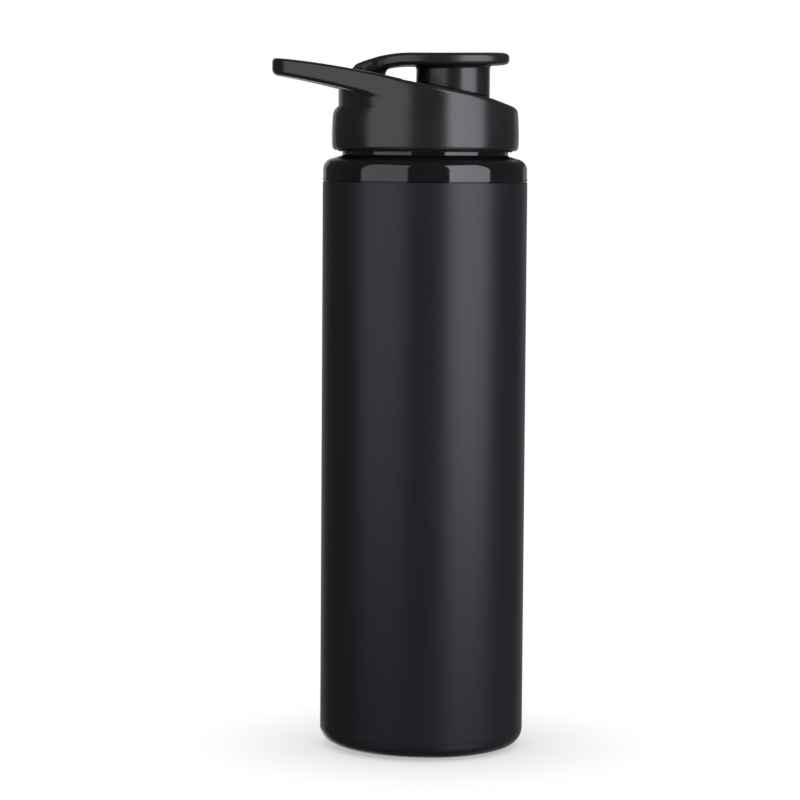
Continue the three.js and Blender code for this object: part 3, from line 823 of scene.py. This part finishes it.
def make_lid():
    """The cover with its loop, the insert and its inward screw thread."""
    cover = surface("cover", lid_cover, cover_low - MARGIN, cover_high + MARGIN, 0.45)
    dress(cover, COVER_PLASTIC, "lid", "satin_black", "lid_cover")
    insert = surface("insert", lid_insert, insert_low - MARGIN, insert_high + MARGIN, 0.5)
    dress(insert, INSERT_PLASTIC, "lid", "insert_grey", "lid_insert")
    start = SHOULDER_Z + THREAD_START - THREAD_PITCH / 2
    thread = ridge("insert_thread", INSERT_RADIUS - INSERT_WALL, NECK_RADIUS + 0.6, start, 1.9, 0.7)
    dress(thread, INSERT_PLASTIC, "lid", "insert_grey")


def make_pin():
    """The hinge pin, turned upright and then laid along Y."""
    length, chamfer = pin_high[1], 0.3
    profile = [
        (0, -length),
        (PIN_RADIUS - chamfer, -length),
        (PIN_RADIUS, -length + chamfer),
        (PIN_RADIUS, length - chamfer),
        (PIN_RADIUS - chamfer, length),
        (0, length),
    ]
    pin = turned("pin", profile, steps=48)
    for vertex in pin.data.vertices:
        x, y, z = vertex.co
        vertex.co = (x + HINGE_X * MM, -z, y + HINGE_Z * MM)
    dress(pin, STEEL, "lid", "bare_steel", "hinge_pin")


def make_flip_cap():
    """The plate with its strap, the cup under it and the soft plug in the cup."""
    plate = surface("flip_plate", flip_plate, flip_low - MARGIN, flip_high + MARGIN, 0.45)
    dress(plate, CAP_PLASTIC, "flip", "satin_black", "flip_strap")
    cup = surface("spout_cup", cap_cup, cup_low - 3 * MARGIN, cup_high + 3 * MARGIN, 0.4)
    dress(cup, COVER_PLASTIC, "flip", "satin_black", "cap_cup")
    seat = SPOUT_TOP + 0.3
    low = plug_low[2]
    bore = SPOUT_RADIUS - SPOUT_WALL
    plug = [
        (0, low),
        (bore - 1.2, low),
        *arc(bore - 1.4, low + 0.8, 0.8, -90, 0, 5),
        (bore - 0.3, seat - 0.3),
        (bore, seat),
        (SPOUT_RADIUS, seat),
        *arc(SPOUT_RADIUS, seat + 0.3, 0.3, -90, 0, 3),
        (SPOUT_RADIUS + 0.3, plug_high[2]),
        (0, plug_high[2]),
    ]
    dress(turned("plug", plug, steps=96, centre_x=SPOUT_X), PALE_SILICONE, "flip", "silicone", "cap_plug")


def make_ball():
    """One wire wound from pole to pole of a sphere."""
    centre_z = (ball_low[2] + ball_high[2]) / 2
    reach = ball_high[1] - BALL_WIRE / 2 + 0.1
    curve = bpy.data.curves.new("whisk", "CURVE")
    curve.dimensions = "3D"
    curve.bevel_depth = BALL_WIRE / 2 * MM
    curve.bevel_resolution = 5
    curve.use_fill_caps = True
    line = curve.splines.new("POLY")
    steps = BALL_TURNS * 48
    line.points.add(steps)
    for i in range(steps + 1):
        tilt = math.radians(BALL_POLE + (180 - 2 * BALL_POLE) * i / steps)
        turn = 2 * math.pi * BALL_TURNS * i / steps
        x = reach * math.sin(tilt) * math.cos(turn)
        y = reach * math.sin(tilt) * math.sin(turn)
        z = centre_z - reach * math.cos(tilt)
        line.points[i].co = (x * MM, y * MM, z * MM, 1)
    line.use_smooth = True
    ball = placed("whisk_wire", curve)
    dress(ball, STEEL, "ball", "bare_steel", "whisk_ball")


# ---------------------------------------------------------------- floor, light and camera

CAMERA_DISTANCE = 1.1
CAMERA_HEIGHT = 0.215
CAMERA_ASIDE = -0.0084
CAMERA_LENS = 138.3
CAMERA_PITCH = 4.71
CAMERA_ROLL = 0.4
LIGHT_DISTANCE = 0.7
LIGHT_TINT = (1.0, 0.97, 1.04)


def make_floor():
    """A plain pale floor that glows white to the camera, with a painted contact shadow where ambient
    occlusion dims the glow near the bottle. It doesn't light the bottle.
    """
    bpy.ops.mesh.primitive_circle_add(vertices=96, radius=60, fill_type="NGON", location=(0, 0, -0.0002))
    floor = bpy.context.object
    floor.name = "floor"
    material = bpy.data.materials.new("pale_floor")
    material.use_nodes = True
    nodes, links = material.node_tree.nodes, material.node_tree.links
    # painted contact shadow: ambient occlusion near the bottle lowers the floor's emission strength, no lamp
    # casts this shade
    near = nodes.new("ShaderNodeAmbientOcclusion")
    near.inputs["Distance"].default_value = 0.05
    near.samples = 16
    shade = nodes.new("ShaderNodeMapRange")
    shade.inputs["To Min"].default_value = 0.45
    shade.inputs["To Max"].default_value = 1.0
    pale = nodes.new("ShaderNodeEmission")
    links.new(near.outputs["AO"], shade.inputs["Value"])
    links.new(shade.outputs["Result"], pale.inputs["Strength"])
    links.new(pale.outputs["Emission"], nodes["Material Output"].inputs["Surface"])
    floor.data.materials.append(material)
    floor.visible_glossy = False
    floor.visible_diffuse = False
    floor.visible_shadow = False


def make_world():
    """White to the camera, and a dim room to the bottle."""
    world = bpy.data.worlds.new("studio")
    bpy.context.scene.world = world
    world.use_nodes = True
    nodes, links = world.node_tree.nodes, world.node_tree.links
    room = nodes["Background"]
    room.inputs["Color"].default_value = (*LIGHT_TINT, 1)
    room.inputs["Strength"].default_value = 0.085
    backdrop = nodes.new("ShaderNodeBackground")
    backdrop.inputs["Color"].default_value = (1, 1, 1, 1)
    backdrop.inputs["Strength"].default_value = 1.0
    ray = nodes.new("ShaderNodeLightPath")
    mix = nodes.new("ShaderNodeMixShader")
    links.new(ray.outputs["Is Camera Ray"], mix.inputs["Fac"])
    links.new(room.outputs["Background"], mix.inputs[1])
    links.new(backdrop.outputs["Background"], mix.inputs[2])
    links.new(mix.outputs["Shader"], nodes["World Output"].inputs["Surface"])


def softbox(name, start, end, low, high, radiance, outer=1.0):
    """A soft light that fills the azimuths from start to end, in degrees from the camera's side.

    Its radiance changes evenly across its width, to the share outer at its end.
    """
    middle = math.radians((start + end) / 2)
    width = 2 * LIGHT_DISTANCE * math.tan(math.radians(end - start) / 2)
    height = high - low
    light = bpy.data.lights.new(name, "AREA")
    light.shape = "RECTANGLE"
    light.size = width
    light.size_y = height
    light.energy = radiance * math.pi * width * height
    light.color = LIGHT_TINT
    light.use_nodes = True
    nodes, links = light.node_tree.nodes, light.node_tree.links
    place = nodes.new("ShaderNodeNewGeometry")
    across = nodes.new("ShaderNodeSeparateXYZ")
    fade = nodes.new("ShaderNodeMapRange")
    fade.inputs["To Min"].default_value = 1.0
    fade.inputs["To Max"].default_value = outer
    links.new(place.outputs["Parametric"], across.inputs["Vector"])
    links.new(across.outputs["X"], fade.inputs["Value"])
    links.new(fade.outputs["Result"], nodes["Emission"].inputs["Strength"])
    lamp = bpy.data.objects.new(name, light)
    lamp.location = (LIGHT_DISTANCE * math.sin(middle), -LIGHT_DISTANCE * math.cos(middle), (low + high) / 2)
    lamp.rotation_euler = (math.pi / 2, 0, middle)
    lamp.visible_camera = False
    bpy.context.scene.collection.objects.link(lamp)


def make_camera():
    """A long lens in front of the bottle, pitched down a little and rolled a touch, with no shift."""
    data = bpy.data.cameras.new("camera")
    data.lens = CAMERA_LENS
    data.sensor_width = 36
    camera = bpy.data.objects.new("camera", data)
    camera.location = (CAMERA_ASIDE, -CAMERA_DISTANCE, CAMERA_HEIGHT)
    camera.rotation_mode = "XYZ"
    pitch = Matrix.Rotation(math.radians(90 - CAMERA_PITCH), 3, "X")
    roll = Matrix.Rotation(math.radians(CAMERA_ROLL), 3, "Z")
    camera.rotation_euler = (pitch @ roll).to_euler()
    bpy.context.scene.collection.objects.link(camera)
    bpy.context.scene.camera = camera


make_can()
make_base_pad()
make_collar()
make_seal("seal_ring", seal_low, seal_high, 1.8, "bottle", "collar_seal")
make_seal("gasket_ring", gasket_low, gasket_high, 2.6, "screw_rise", "lid_gasket")
make_lid()
make_pin()
make_flip_cap()
make_ball()
make_floor()
make_world()
softbox("left_softbox", -75, -19.5, 0.0, 1.0, 1.5)
softbox("right_softbox", 26.4, 75.5, 0.0, 1.0, 4.6, outer=0.7)
softbox("left_foot_light", -70, -22, -0.9, -0.3, 0.3)
softbox("right_foot_light", 26.4, 76.7, -0.9, -0.3, 1.0)
softbox("back_softbox", 180, 212, -0.1, 0.4, 0.35)
softbox("back_foot_light", 178, 212, -0.9, -0.15, 2.4)
softbox("back_right_softbox", 142, 178, -0.9, 0.3, 0.25)
softbox("back_top_softbox", 158, 202, 0.45, 1.2, 0.3)
make_camera()
bpy.context.scene.view_settings.view_transform = "Standard"
